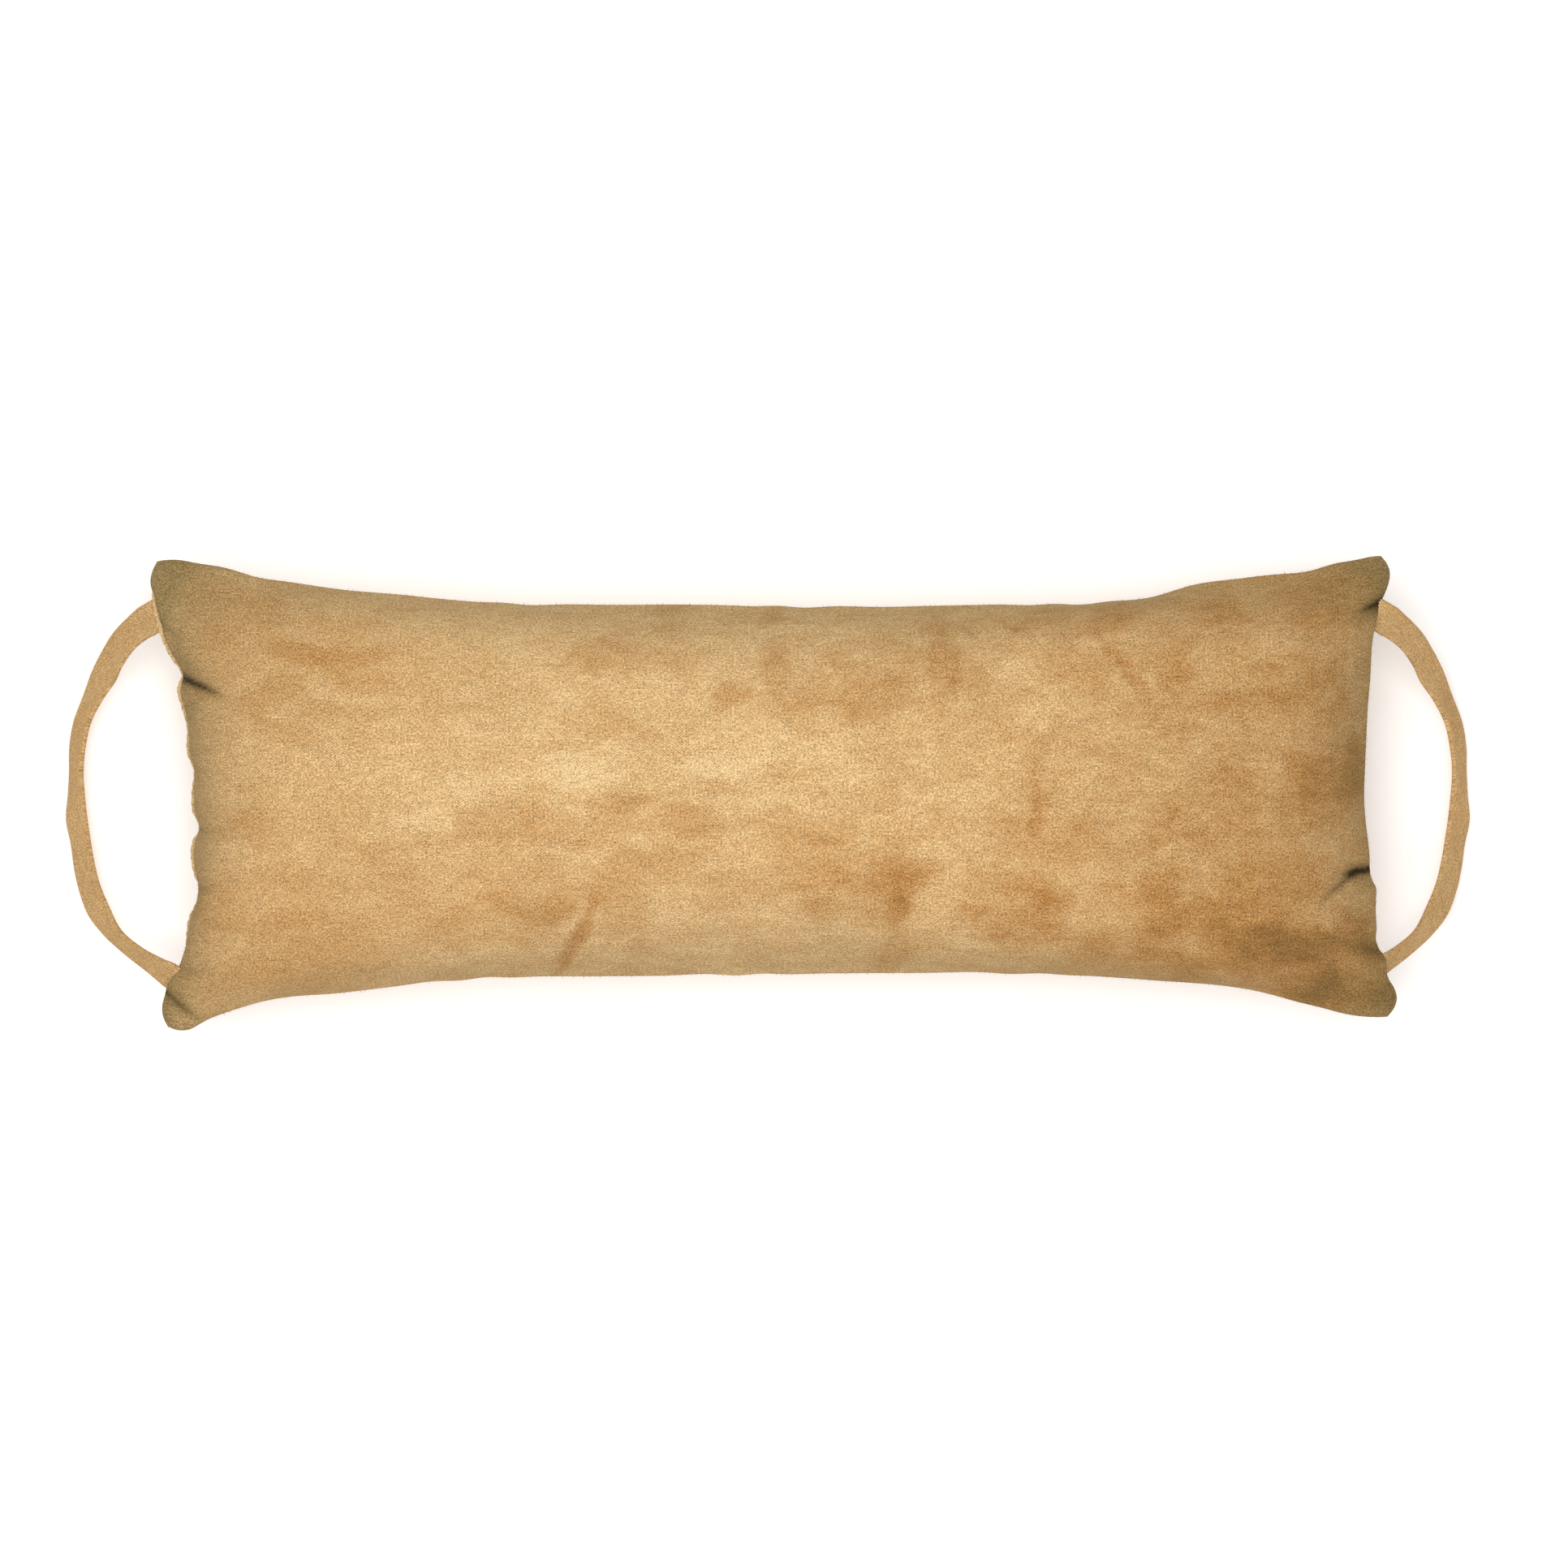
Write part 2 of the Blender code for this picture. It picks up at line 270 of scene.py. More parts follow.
def suede(name, pale, light, dark, shade, patchiness):
    """Napped microsuede. Attributes: cloth, flat coordinates; nap, 1 where the pile is brushed
    dark; painted olive shade, 1 where the cloth turns steeply down; painted near-black shade, 1
    deep inside a crease."""
    made, tree, shader = new_material(name)
    cloth = attribute(tree, "cloth", "Vector")
    broad = noise(tree, cloth, 24, 5, 0.66, 0.5)
    brushing = add_node(tree, "Mapping", {"Vector": cloth, "Scale": (0.55, 1.0, 1.0)})
    patches = noise(tree, brushing.outputs[0], 110, 8, 0.78, 0.5)
    streaks_at = add_node(tree, "Mapping", {"Vector": cloth, "Scale": (0.6, 1.3, 1.0)})
    streaks = noise(tree, streaks_at.outputs[0], 420, 4, 0.7)
    speckle = noise(tree, cloth, 1300, 3, 0.75)
    tufts = noise(tree, cloth, 330, 3, 0.6)

    # how the pile lies, by patches and by single tufts: the left part is the evenest
    along = add_node(tree, "SeparateXYZ", {0: cloth}).outputs[0]
    mottled = remap(tree, along, -0.2, 0.06, 0.9 * patchiness, 1.8 * patchiness)
    ragged = maths(tree, "MULTIPLY", maths(tree, "SUBTRACT", patches, 0.5), mottled)
    uneven = maths(tree, "MULTIPLY", maths(tree, "SUBTRACT", broad, 0.5), 0.3 * patchiness)
    brushed = maths(tree, "ADD", maths(tree, "ADD", uneven, ragged), attribute(tree, "nap"))
    single_tufts = maths(tree, "MULTIPLY", maths(tree, "SUBTRACT", 0.5, speckle), 1.5)
    brushed = maths(tree, "ADD", brushed, single_tufts)
    colour = blend_colours(tree, remap(tree, brushed, -0.1, 0.75, 0, 1), light, dark)
    colour = blend_colours(tree, remap(tree, brushed, 0.0, -0.45, 0, 1), colour, pale)
    colour = blend_colours(tree, remap(tree, brushed, 0.7, 1.5, 0, 1), colour, NAP_DEEP)
    # painted shade: olive where the cloth turns down, near the seams, corners and creases, and along
    # the sides and on the right part
    painted_shade_share = maths(tree, "MULTIPLY", attribute(tree, "painted_shade"), 0.75)
    colour = blend_colours(tree, painted_shade_share, colour, shade)

    # painted shade: near black deep inside the creases
    crease_shade_share = maths(tree, "MULTIPLY", attribute(tree, "painted_crease_shade"), 0.95)
    colour = blend_colours(tree, crease_shade_share, colour, [c * 0.18 for c in shade])

    # light and dark of the pile itself, and of the weave where the pile is thin
    weave = herringbone(tree, cloth)
    bare = remap(tree, broad, 0.38, 0.6, 0.2, 1.0)
    woven = maths(tree, "MULTIPLY", weave, bare)
    grain = 1.1 + 1.2 * patchiness
    tone = maths(tree, "MULTIPLY", maths(tree, "SUBTRACT", speckle, 0.5), grain)
    tone = maths(tree, "ADD", tone, remap(tree, streaks, 0.3, 0.7, -0.12, 0.12))
    tone = maths(tree, "ADD", tone, remap(tree, tufts, 0.3, 0.7, -0.08, 0.08))
    tone = maths(tree, "ADD", tone, maths(tree, "MULTIPLY", woven, 0.2))
    tone = maths(tree, "ADD", tone, 1.0)
    grey = add_node(tree, "CombineColor", {0: tone, 1: tone, 2: tone}).outputs[0]
    colour = blend_colours(tree, 1.0, colour, grey, "MULTIPLY")
    tree.links.new(colour, shader.inputs["Base Color"])
    rough = remap(tree, patches, 0.3, 0.7, 0.86, 0.98)
    tree.links.new(rough, shader.inputs["Roughness"])
    shader.inputs["Specular IOR Level"].default_value = 0.12
    shader.inputs["Sheen Weight"].default_value = 0.12
    shader.inputs["Sheen Roughness"].default_value = 0.45
    shader.inputs["Sheen Tint"].default_value = (*light, 1.0)

    pile = maths(tree, "ADD", speckle, streaks)
    height = maths(tree, "ADD", pile, maths(tree, "MULTIPLY", woven, 0.35))
    bump = add_node(tree, "Bump", {"Height": height, "Strength": 0.55, "Distance": 0.0004})
    tree.links.new(bump.outputs[0], shader.inputs["Normal"])
    return made


def plain_cloth(name, colour, thread_pitch, roughness):
    """A plain weave or a mass of fibre, for pieces that lie inside the cover."""
    made, tree, shader = new_material(name)
    place = add_node(tree, "TexCoord").outputs["Object"]
    grain = noise(tree, place, 1 / thread_pitch, 3, 0.6)
    tone = remap(tree, grain, 0.3, 0.7, 0.88, 1.08)
    grey = add_node(tree, "CombineColor", {0: tone, 1: tone, 2: tone}).outputs[0]
    tree.links.new(blend_colours(tree, 1.0, colour, grey, "MULTIPLY"), shader.inputs["Base Color"])
    shader.inputs["Roughness"].default_value = roughness
    bump = add_node(tree, "Bump", {"Height": grain, "Strength": 0.5, "Distance": 0.0003})
    tree.links.new(bump.outputs[0], shader.inputs["Normal"])
    return made


cover_suede = suede("cover suede", NAP_PALE, TAN, NAP_BROWN, PAINTED_SHADE_OLIVE, 1.0)
strap_suede = suede("strap suede", TAN, STRAP_TAN, NAP_BROWN, PAINTED_SHADE_OLIVE, 0.5)
thread_twist = plain_cloth("tan thread", THREAD_TAN, 0.4 * MM, 0.75)


# ---- the cover: outline ----


def end_seam(points, side):
    """An end seam, from front to rear."""
    ys = np.linspace(points[0][0], points[-1][0], 700)
    return np.stack([side * smooth_curve(points, ys), ys], axis=1) * MM


def long_seam(points, side):
    """A long seam, from left to right, which wanders a little between its points."""
    xs = np.linspace(points[0][0], points[-1][0], 1200)
    wander = 0.45 * np.sin(xs / 5.3 + 2 * np.sin(xs / 17) + side) * np.sin(xs / 31 + side) ** 2
    return np.stack([xs, side * (smooth_curve(points, xs) + wander)], axis=1) * MM


def outline_sides():
    """The four seams, as points that are evenly spaced from corner to corner."""
    front, rear = long_seam(FRONT_SEAM, -1), long_seam(REAR_SEAM, 1)
    left, right = end_seam(LEFT_END, -1), end_seam(RIGHT_END, 1)
    sides = (front, rear, left, right)
    counts = (COLUMNS + 1, COLUMNS + 1, ROWS + 1, ROWS + 1)
    return [evenly_spaced(side, count) for side, count in zip(sides, counts)]


def fill_between(front, rear, left, right):
    """Plan grid spanned between the four seams."""
    s = np.linspace(0, 1, COLUMNS + 1)[:, None, None]
    t = np.linspace(0, 1, ROWS + 1)[None, :, None]
    across = (1 - t) * front[:, None] + t * rear[:, None]
    along = (1 - s) * left[None] + s * right[None]
    corners = (1 - s) * ((1 - t) * left[0] + t * left[-1])
    corners = corners + s * ((1 - t) * right[0] + t * right[-1])
    return across + along - corners


# ---- the cover: cloth simulation ----


def grid_faces(ids, flipped=False):
    """Quads of a grid of vertex numbers."""
    corners = (ids[:-1, :-1], ids[1:, :-1], ids[1:, 1:], ids[:-1, 1:])
    quads = np.stack(corners, -1).reshape(-1, 4)
    return quads[:, ::-1] if flipped else quads


def inflate_cover():
    """Two flat panels, seamed all round, swell between the pulled-in seams.

    The cloth starts flat and at its cut size, the seam is drawn in to the filled outline over the
    first frames, and the pressure of the filling does the rest, puckers included.
    """
    drawn_in = 15
    settled = 34
    lift = 3 * MM
    edge = np.ones((COLUMNS + 1, ROWS + 1), bool)
    edge[1:-1, 1:-1] = False
    top_ids = np.arange(edge.size).reshape(edge.shape)
    bottom_ids = top_ids.copy()
    bottom_ids[~edge] = edge.size + np.arange((~edge).sum())

    def both_layers(plan, height):
        upper = np.dstack([plan, SEAM_Z + height])
        lower = np.dstack([plan, SEAM_Z - height])
        return np.concatenate([upper.reshape(-1, 3), lower[~edge]])

    s = np.linspace(-1, 1, COLUMNS + 1)[:, None]
    t = np.linspace(-1, 1, ROWS + 1)[None, :]
    flat_plan = np.dstack([s * FLAT_LENGTH / 2 + 0 * t, t * FLAT_WIDTH / 2 + 0 * s])
    flat = both_layers(flat_plan, np.where(edge, 0.0, lift))
    filled = both_layers(fill_between(*outline_sides()), np.where(edge, 0.0, lift))

    mesh = bpy.data.meshes.new("cover cloth")
    faces = np.concatenate([grid_faces(top_ids), grid_faces(bottom_ids, True)])
    mesh.from_pydata(flat.tolist(), [], faces.tolist())
    cloth = bpy.data.objects.new("cover cloth", mesh)
    bpy.context.scene.collection.objects.link(cloth)
    cloth.shape_key_add(name="cut flat")
    pulled_in = cloth.shape_key_add(name="pulled in")
    pulled_in.data.foreach_set("co", filled.ravel())
    for frame_number, value in ((1, 0.0), (drawn_in, 1.0)):
        pulled_in.value = value
        pulled_in.keyframe_insert("value", frame=frame_number)
    seam = cloth.vertex_groups.new(name="seam")
    seam.add(top_ids[edge].tolist(), 1.0, "REPLACE")

    modifier = cloth.modifiers.new("filling", "CLOTH")
    modifier.point_cache.frame_end = settled
    settings = modifier.settings
    settings.quality = 6
    settings.mass = 0.01
    settings.tension_stiffness = 40
    settings.compression_stiffness = 40
    settings.shear_stiffness = 12
    settings.bending_stiffness = 1.0
    settings.tension_damping = 8
    settings.compression_damping = 8
    settings.shear_damping = 8
    settings.air_damping = 2
    settings.use_pressure = True
    settings.uniform_pressure_force = 500
    settings.vertex_group_mass = seam.name
    settings.effector_weights.gravity = 0
    modifier.collision_settings.use_collision = False
    for frame_number in range(1, settled + 1):
        bpy.context.scene.frame_set(frame_number)
    shaped = cloth.evaluated_get(bpy.context.evaluated_depsgraph_get())
    points = np.empty(len(flat) * 3)
    shaped.data.vertices.foreach_get("co", points)
    points = points.reshape(-1, 3)
    bpy.data.objects.remove(cloth)
    bpy.context.scene.frame_set(1)
    return fill_out(points[top_ids]), fill_out(points[bottom_ids])


def fill_out(layer):
    """The pressed-in filling: heights brought to the crown, with fuller shoulders near the seams,
    and the finest wrinkles of the coarse cloth eased away except at the ends."""
    height = layer[..., 2] - SEAM_Z
    top = abs(height).max()
    layer[..., 2] = height * (CROWN / top) * (1 + SHOULDER * (1 - abs(height) / top))
    u = np.arange(COLUMNS + 1)[:, None, None] * CELL
    near_end = np.exp(-np.minimum(u, FLAT_LENGTH - u) / 0.018)[1:-1]
    share = 0.6 * (1 - 0.75 * near_end)
    for _ in range(EASING_ROUNDS):
        inner = layer[1:-1, 1:-1]
        mean = (layer[:-2, 1:-1] + layer[2:, 1:-1] + layer[1:-1, :-2] + layer[1:-1, 2:]) / 4
        layer[1:-1, 1:-1] = inner + (mean - inner) * share
    return layer


def round_edges(height, u, v):
    """Height of the cloth, never less than a rolled edge: full right up to seams and corners."""
    to_end = np.minimum(u, COLUMNS - u) * CELL + 1e-6
    to_side = np.minimum(v, ROWS - v) * CELL + 1e-6
    distance = (to_end**-2 + to_side**-2) ** -0.5
    to_corner = np.hypot(to_end, to_side)
    full = EDGE_ROLL + CORNER_ROLL * np.exp(-((to_corner / 0.03) ** 2))
    rolled = full * (1 - np.exp(-distance / (0.7 * full))) ** 0.6
    return (height**4 + rolled**4) ** 0.25


# ---- the cover: finished panels ----

# Distances from the seam, in cells, at which the fine grid has extra lines
SEAM_LINES = (0.0, 0.08, 0.18, 0.3, 0.45, 0.65, 0.85)
# Two rows of the turned-in seam allowance: how far inside the seam they are, and off its plane
TURNED_IN = (1.2 * MM, 3.5 * MM)
TURNED_OFF = 0.25 * MM


def fine_lines(count, dense_ends):
    """Fractional indices of the fine grid along one direction of the cloth grid: closest at the
    seams, then a quarter of a cell apart, and half a cell in the middle."""
    near = np.array(SEAM_LINES)
    dense = np.arange(1.0, 1.0 + dense_ends, 0.25)
    middle = np.arange(1.0 + dense_ends, count - 1.0 - dense_ends + 1e-6, 0.5)
    return np.concatenate([near, dense, middle, count - dense[::-1], count - near[::-1]])


def inward_pull(u, v):
    """Unit plan directions away from the nearest seam, and the flat distance from it."""
    to_left, to_right = u * CELL, (COLUMNS - u) * CELL
    to_front, to_rear = v * CELL, (ROWS - v) * CELL
    reach = 2.0 * MM
    from_left, from_right = np.exp(-to_left / reach), np.exp(-to_right / reach)
    from_front, from_rear = np.exp(-to_front / reach), np.exp(-to_rear / reach)
    pull = np.stack([from_left - from_right, from_front - from_rear], axis=-1)
    distance = np.minimum(np.minimum(to_left, to_right), np.minimum(to_front, to_rear))
    return unit(pull), distance


def draw_in_seams(surface, u, v, pull, distance):
    """Stitches draw the cloth in, half as far at the closed opening, whose lip stands out. The
    stuffed corners push out instead."""
    closed = ramp(surface[..., 1], CLOSED_FROM, 8 * MM) * ramp(-surface[..., 1], -CLOSED_TO, 8 * MM)
    closed *= np.exp(-u * CELL / (12 * MM))
    to_corner = np.hypot(np.minimum(u, COLUMNS - u), np.minimum(v, ROWS - v)) * CELL
    valley = SEAM_VALLEY * np.exp(-((distance / VALLEY_WIDTH) ** 2)) * (1 - 0.5 * closed)
    valley *= 1 - 1.5 * np.exp(-((to_corner / (12 * MM)) ** 2))
    surface[..., :2] += pull * valley[..., None]
    surface[..., 0] += LIP_WIDTH * closed


def creased(height, sunk):
    """What creases leave of a height: never under 0.12 of it, and up to 1.4 times it beside them."""
    share = sunk / np.maximum(height, 0.1 * MM)
    return height * np.where(share > 0, 0.12 + 0.88 * np.exp(-share), 1 - np.maximum(share, -0.4))


def turn_in_allowance(points, cloth, faces, ring, pull, side):
    """Adds the seam allowance to a panel's points, cloth coordinates and faces: rows of points
    behind those of its edge, the ring."""
    previous = ring
    for depth in TURNED_IN:
        turned = points[0][ring].copy()
        turned[:, :2] += pull.reshape(-1, 2)[ring] * depth
        turned[:, 2] = SEAM_Z + side * TURNED_OFF
        following = sum(map(len, points)) + np.arange(len(ring))
        quads = np.stack([previous, following, np.roll(following, -1), np.roll(previous, -1)], -1)
        faces.append(quads[:, ::-1] if side > 0 else quads)
        points.append(turned)
        cloth.append(cloth[0][ring])
        previous = following


def cover_panel(name, layer, side, material):
    """A panel on the fine grid, rolled in at the seam, with its seam allowance turned in."""
    us, vs = fine_lines(COLUMNS, dense_ends=8), fine_lines(ROWS, dense_ends=21)
    along, across = spline_weights(us, COLUMNS + 1), spline_weights(vs, ROWS + 1)
    surface = np.einsum("ai,ijk,bj->abk", along, layer, across)
    u, v = np.meshgrid(us, vs, indexing="ij")
    pull, distance = inward_pull(u, v)
    draw_in_seams(surface, u, v, pull, distance)
    height = round_edges(abs(surface[..., 2]), u, v) + lumps(surface[..., 0], surface[..., 1])
    height *= ramp(distance, 0, VALLEY_WIDTH) ** 0.5
    crease_shade_amount, halo = 0 * height, 0 * height
    if side > 0:
        sunk, halo = crease_depth(surface[..., :2])
        height = creased(height, sunk)
        # how much painted shade the creases get, near black where they are deepest
        crease_shade_amount = ramp(sunk, 0, 6 * MM) ** 1.3
    surface[..., 2] = settle_on_floor(SEAM_Z + side * height)
    flat = np.dstack([(u - COLUMNS / 2) * CELL, (v - ROWS / 2) * CELL, 0.3 * side + 0 * u])

    ids = np.arange(u.size).reshape(u.shape)
    ring = np.concatenate([ids[:, 0], ids[-1, 1:], ids[-2::-1, -1], ids[0, -2:0:-1]])
    points = [surface.reshape(-1, 3)]
    cloth = [flat.reshape(-1, 3)]
    faces = [grid_faces(ids, side < 0)]
    turn_in_allowance(points, cloth, faces, ring, pull, side)
    points, cloth = np.concatenate(points), np.concatenate(cloth)
    # the turned-in allowance is painted in full shade
    hidden = np.ones(len(points) - u.size)
    attributes = {
        "cloth": cloth,
        "nap": nap_at(points, side),
        "painted_shade": np.concatenate([painted_shade_at(surface, halo).ravel(), hidden]),
        "painted_crease_shade": np.concatenate([crease_shade_amount.ravel(), hidden]),
    }
    return mesh_piece(name, points, np.concatenate(faces), material, attributes)


# Creases of the upper panel, in millimetres: start at the seam, end, depth and half width
CREASES = [
    ((-221.5, 43.5), (-201.0, 34.5), 22, 2.3),
    ((-221.0, 28.0), (-207.5, 35.5), 7, 2.2),
    ((-213.0, -14.0), (-204.0, -15.5), 6, 1.4),
    ((-213.0, -37.0), (-203.0, -35.5), 6, 1.4),
    ((-214.5, 8.0), (-207.0, 7.0), 4, 1.2),
    ((-217.0, 28.0), (-209.0, 25.0), 4, 1.2),
    ((-227.0, -71.5), (-209.0, -87.0), 13, 1.9),
    ((225.5, -28.4), (210.0, -31.0), 30, 1.9),
    ((214.5, -30.5), (201.0, -42.0), 9, 2.0),
    ((230.0, -60.5), (212.0, -57.0), 8, 3.2),
    ((229.5, 71.5), (216.0, 65.5), 22, 2.8),
    ((227.0, 68.0), (214.0, 60.0), 6, 2.6),
    ((222.5, 44.0), (214.0, 42.0), 3, 3.0),
    ((221.0, 2.0), (213.0, 4.0), 3, 3.5),
    ((228.5, -76.0), (214.0, -68.0), 4, 3.2),
    ((-231.0, 66.0), (-218.0, 56.0), 9, 3.2),
    ((-222.0, 50.0), (-209.0, 41.5), 4, 3.0),
    ((-219.0, -66.0), (-204.0, -68.0), 5, 3.4),
]


def crease_depth(plan):
    """How far the creases sink the panel, beside each of which the cloth stands a little proud,
    and how much they shade the cloth around them."""
    sunk, halo = np.zeros(plan.shape[:-1]), np.zeros(plan.shape[:-1])
    for start, end, depth, half_width in CREASES:
        start, end = np.array(start) * MM, np.array(end) * MM
        length = np.linalg.norm(end - start)
        direction = (end - start) / length
        along = (plan - start) @ direction / length
        off = (plan - start) @ np.array([-direction[1], direction[0]])
        fade = (1 - np.clip(along, 0, 1)) ** 0.7
        fade *= np.exp(-((np.minimum(along, 0) * length / (3 * MM)) ** 2))
        taper = 1.5 - 0.9 * np.clip(along, 0, 1)
        near = abs(off / (half_width * MM)) / taper
        sunk += depth * MM * fade * (np.exp(-near * 1.2) - 0.45 * np.exp(-near * 0.55))
        halo += min(depth / 14, 1) * fade * np.exp(-((near / 2.4) ** 2))
    return sunk, np.clip(halo, 0, 1)


def lumps(x, y):
    """Slight unevenness of loose fibre under the cloth."""
    long_wave = np.sin(x / 0.019 + 1.7 * np.sin(y / 0.024)) * np.sin(y / 0.016 + 1.3)
    short_wave = np.sin(x / 0.0083 + 2 * np.sin(y / 0.011 + 1)) * np.sin(y / 0.0074 + x / 0.03)
    return 0.35 * MM * long_wave + 0.12 * MM * short_wave


def settle_on_floor(z):
    """Cloth that would pass the floor spreads on it, with a soft turn where it lifts off."""
    turn = 2.5 * MM
    return np.where(z > 4 * turn, z, turn * np.log1p(np.exp(np.minimum(z, 4 * turn) / turn)))


# Where the pile of the upper panel lies another way, in millimetres and degrees:
# x, y, half length, half width, turn, and how much darker (or, below zero, lighter) it looks
NAP = [
    # the left third
    (-165, 50, 26, 6, 4, 0.46), (-150, 40, 14, 5, -6, 0.3), (-184, 34, 12, 7, 10, 0.3),
    (-158, 27, 16, 4, -3, 0.24), (-178, 22, 10, 4, -30, 0.2), (-195, 64, 18, 12, -8, 0.3),
    (-160, 62, 20, 6, 0, 0.26), (-160, -40, 56, 18, 0, 0.22), (-172, -66, 40, 10, 8, 0.36),
    (-125, 30, 20, 3, 0, 0.1), (-101, -12, 26, 6, 14, 0.2), (-170, -10, 34, 12, 0, 0.1),
    (-138, -18, 16, 6, 0, 0.24), (-190, -13, 12, 8, 0, 0.24), (-205, -45, 10, 14, 0, 0.2),
    (-168, -52, 20, 7, 0, 0.16), (-105, -50, 26, 9, 0, 0.24), (-95, -30, 24, 6, 0, 0.24),
    (-142, 18, 14, 5, 0, 0.14), (-130, -13, 12, 8, 0, -0.26), (-105, 1, 24, 6, 0, -0.2),
    (-150, 46, 44, 9, 0, 0.14), (-196, -2, 8, 30, 0, -0.06), (-205, 46, 10, 14, 0, 0.14),
    (-95, -18, 14, 4, 14, 0.22), (-92, -1, 12, 4, 0, 0.18),
    # the middle
    (-60, 50, 14, 7, 0, 0.38), (-35, 50, 10, 8, 0, 0.2), (-62, 28, 12, 6, 0, 0.22),
    (-14, 33, 8, 5, 0, 0.34), (2, 42, 5, 12, 0, 0.44), (13, 30, 8, 12, 0, 0.24),
    (36, 33, 18, 11, 0, 0.36), (62, 46, 7, 15, 0, 0.36), (74, 33, 6, 7, 0, 0.24),
    (26, 47, 9, 4, 0, 0.3), (45, 50, 8, 7, 0, 0.24), (-70, -14, 24, 7, 0, 0.28),
    (-30, -11, 16, 5, -6, 0.4), (-54, -3, 11, 4, 0, 0.34), (-40, -24, 22, 7, 4, 0.3),
    (-58, -36, 12, 8, 0, 0.36), (-88, -41, 18, 6, -8, 0.4), (-69, -53, 18, 2.8, 59, 0.62),
    (-50, -50, 12, 8, 0, 0.18), (-16, -36, 18, 9, 0, 0.2), (10, -14, 20, 7, 0, 0.28),
    (14, -28, 18, 12, -12, 0.42), (30, -42, 30, 5, 0, 0.24), (44, -30, 15, 10, -10, 0.6),
    (45, -43, 5, 8, 0, 0.5), (44, -17, 12, 4, 0, 0.2), (46, -59, 8, 8, 0, 0.34),
    (0, 66, 4, 6, 0, 0.4), (-35, 64, 10, 5, 0, 0.24), (-5, 12, 20, 7, 0, -0.12),
    (-70, 8, 20, 7, 0, -0.3), (-52, -19, 8, 3, 0, -0.2), (-18, 9, 22, 6, 0, -0.2),
    (62, -16, 6, 5, 0, 0.14), (60, -8, 8, 6, 0, 0.1), (-10, 3, 14, 6, 0, 0.16),
    (-78, -38, 8, 5, 0, 0.16),
    # the right third
    (84, -42, 20, 12, 0, 0.36), (92, -54, 16, 6, 0, 0.3), (95, -3, 4, 13, 0, 0.36),
    (101, -44, 6, 8, 0, 0.3), (104, -18, 24, 10, 0, 0.24), (92, 16, 12, 7, 0, 0.1),
    (92, 32, 8, 7, 0, 0.08), (126, -40, 10, 8, 0, 0.24), (141, -42, 8, 14, 10, 0.44),
    (142, -56, 10, 7, 0, 0.26), (160, -46, 12, 7, 0, 0.5), (182, -57, 26, 7, -4, 0.62),
    (196, -64, 26, 12, 0, 0.46), (205, 0, 16, 18, 0, 0.2), (184, -34, 22, 9, 0, 0.36),
    (155, -14, 20, 12, 0, 0.2), (168, 4, 12, 9, 0, 0.26), (200, 6, 8, 12, 0, 0.34),
    (128, 45, 14, 3, -44, 0.42), (128, 62, 10, 5, 0, 0.3), (165, 64, 12, 5, 0, 0.34),
    (110, 60, 14, 6, 0, 0.3), (88, 61, 10, 4, 0, 0.3), (112, 44, 14, 8, 0, 0.2),
    (150, 46, 8, 8, 0, 0.3), (166, 38, 12, 8, 0, 0.12), (188, 42, 12, 11, 0, 0.22),
    (214, 8, 6, 15, 0, 0.44), (214, -52, 6, 8, 0, 0.44), (221, -58, 5, 7, 0, 0.5),
    (206, -76, 18, 5, -14, 0.3), (150, -64, 24, 6, 0, 0.4), (118, -57, 10, 5, 0, 0.34),
    (205, 68, 20, 12, 0, 0.3), (184, 56, 9, 7, 0, -0.2), (97, 28, 7, 5, 0, -0.16),
    (214, -69, 5, 4, 0, -0.3), (90, 45, 10, 5, 0, -0.2), (180, -48, 18, 7, 0, 0.34),
    (212, -74, 18, 8, -10, 0.5), (168, 28, 40, 9, 0, 0.14), (186, -16, 24, 10, 0, 0.16),
    (205, 36, 8, 12, 0, 0.16), (145, -50, 6, 5, 0, 0.2),
]
# darker to the right: partly the pile, partly painted shade of the light falling off
PILE_AND_SHADE_TO_THE_RIGHT = 0.3
DARKER_FAR_LEFT = 0.08


def ragged_edges(x, y):
    """The same places, moved about so that what is drawn over them gets an uneven outline."""
    for size, reach in ((21, 5), (8, 3), (3.5, 1.4)):
        places = list(zip(x / size, y / size))
        along = np.array([perlin((a, b, 0.5)) for a, b in places])
        across = np.array([perlin((a, b, 7.5)) for a, b in places])
        x, y = x + along * reach, y + across * reach
    return x, y


def nap_at(points, side):
    """How far the pile is brushed to its dark lie, with painted shade towards the right: around 0,
    darker above, lighter below.
    """
    x, y = ragged_edges(points[:, 0] / MM, points[:, 1] / MM)
    # darker to the right, partly the pile and partly painted shade
    field = PILE_AND_SHADE_TO_THE_RIGHT * np.clip((x - 20) / 150, 0, 1.1)
    field += DARKER_FAR_LEFT * ramp(-x, 150, 40)
    if side < 0:
        return field
    for centre_x, centre_y, half_length, half_width, turn, strength in NAP:
        turn = turn * pi / 180
        along = (x - centre_x) * cos(turn) + (y - centre_y) * sin(turn)
        across = (y - centre_y) * cos(turn) - (x - centre_x) * sin(turn)
        squared = (along / half_length) ** 2 + (across / half_width) ** 2
        field = field + strength * np.exp(-(squared**2.2))
    return field


